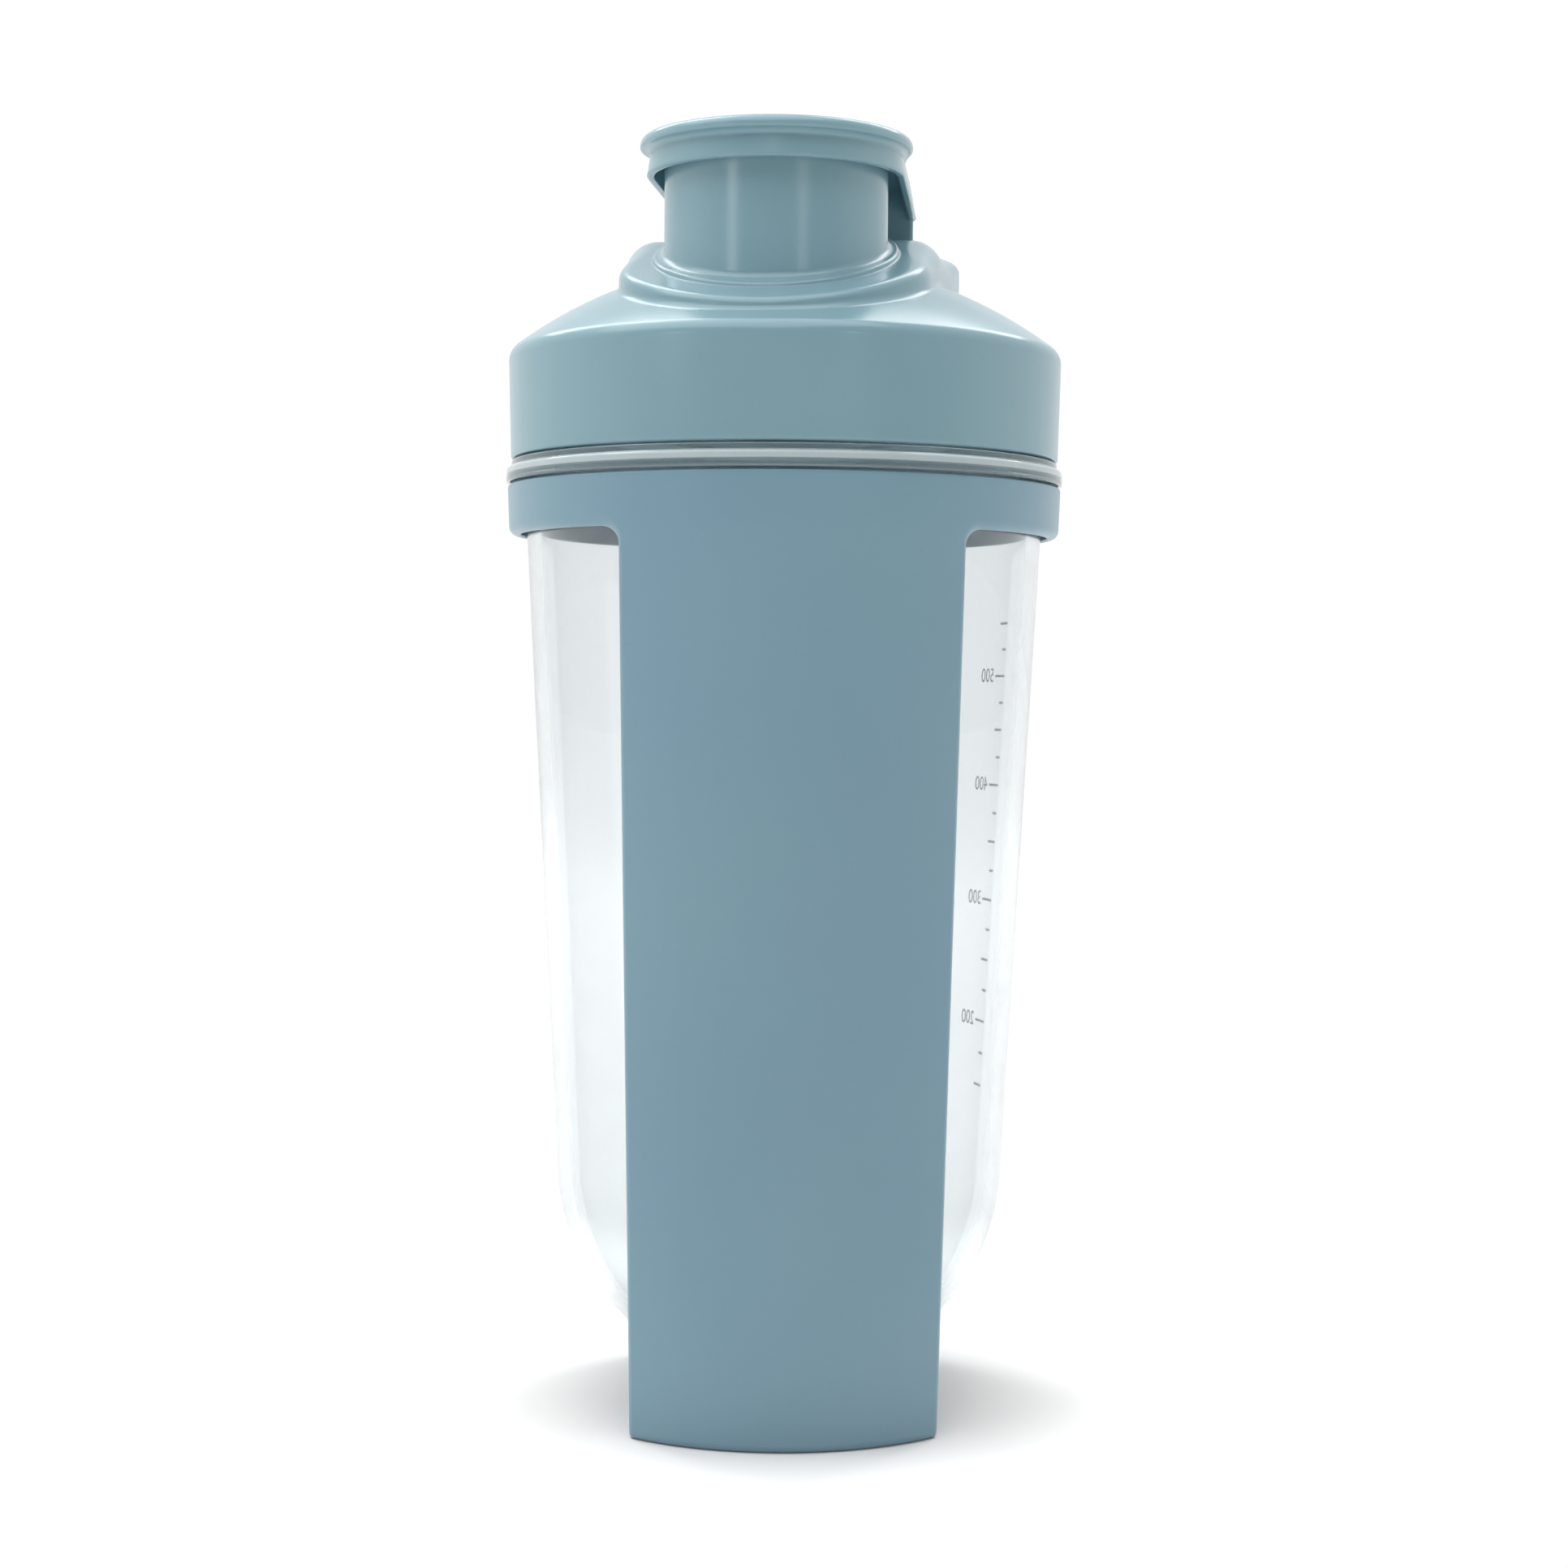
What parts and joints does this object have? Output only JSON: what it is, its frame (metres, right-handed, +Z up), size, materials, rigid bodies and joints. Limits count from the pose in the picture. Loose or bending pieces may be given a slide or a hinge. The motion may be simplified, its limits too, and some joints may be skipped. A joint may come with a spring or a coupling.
{
  "type": "protein shaker bottle",
  "caption": "Clear round-bottomed shaker cup in a carry sleeve with open sides, closed by a screw lid with an offset spout and a hinged flip cap.",
  "frame": {"origin": "centre of the sleeve's foot, on the surface it stands on", "axes": "+Z up the bottle's axis, -Y out of the sleeve's front panel, +X through the right side window seen from the front"},
  "size_m": [0.0964, 0.0964, 0.216],
  "materials": {
    "sleeve_plastic": "fine satin moulded polypropylene",
    "lid_plastic": "satin moulded polypropylene, a little glossier than the sleeve",
    "clear_plastic": "clear glossy copolyester",
    "silicone": "soft translucent silicone",
    "pin_steel": "drawn wire"
  },
  "bodies": {
    "sleeve": {"sleeve": "sleeve_plastic"},
    "cup": {"cup": "clear_plastic"},
    "gasket": {"lid_gasket": "silicone"},
    "lid": {"lid": "lid_plastic", "hinge_pin": "pin_steel"},
    "flip_cap": {"flip_cap": "lid_plastic", "spout_seal": "silicone"}
  },
  "joints": [
    {"name": "cup_lift", "type": "slide", "parent": "sleeve", "child": "cup", "axis": [0, 0, 1], "range_m": [0, 0.16]},
    {"name": "lid_lift", "type": "slide", "parent": "cup", "child": "gasket", "axis": [0, 0, 1], "range_m": [0, 0.0181]},
    {"name": "lid_turn", "type": "hinge", "parent": "gasket", "child": "lid", "pos_m": [0, 0, 0.17], "axis": [0, 0, 1], "range_deg": [0, 1080]},
    {"name": "cap_flip", "type": "hinge", "parent": "lid", "child": "flip_cap", "pos_m": [0.00311, 0.02329, 0.1984], "axis": [-0.9912, 0.1323, 0], "range_deg": [0, 110]}
  ],
  "couplings": [
    {"joint": "lid_lift", "follows": "lid_turn", "m_per_rad": 0.00095493}
  ]
}
